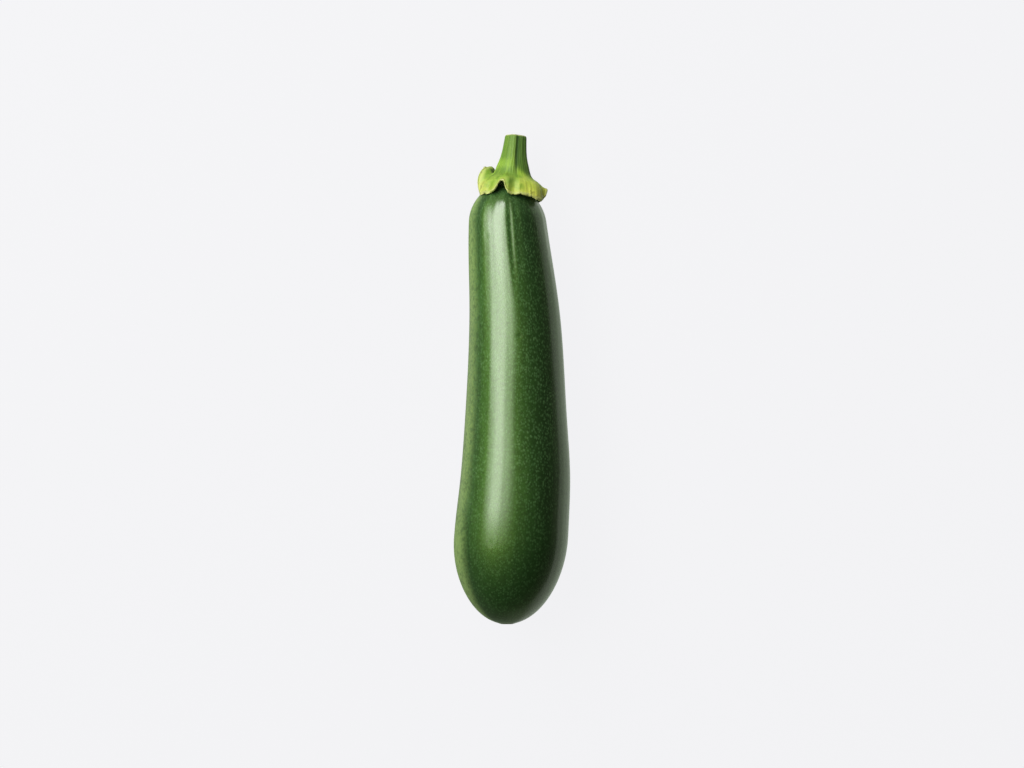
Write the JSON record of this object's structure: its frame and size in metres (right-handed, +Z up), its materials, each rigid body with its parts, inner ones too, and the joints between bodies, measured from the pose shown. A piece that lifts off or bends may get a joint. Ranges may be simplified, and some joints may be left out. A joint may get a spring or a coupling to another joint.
{
  "type": "courgette",
  "caption": "Whole green courgette lying on its side: a long ribbed fruit that thickens towards the blossom end, and a cut ribbed stem with a flared, lobed skirt.",
  "frame": {"origin": "on the surface that it lies on, under the middle of the object's box", "axes": "+Z up, +Y along the courgette from the blossom end to the cut stem, +X to the right seen from above with the stem pointing away"},
  "size_m": [0.0472, 0.2006, 0.0464],
  "materials": {
    "skin": "glossy dark green skin with fine pale flecks",
    "stem": "matt light green stalk with fine lengthwise ridges"
  },
  "bodies": {
    "root": {"fruit": "skin", "stem": "stem"}
  },
  "joints": []
}
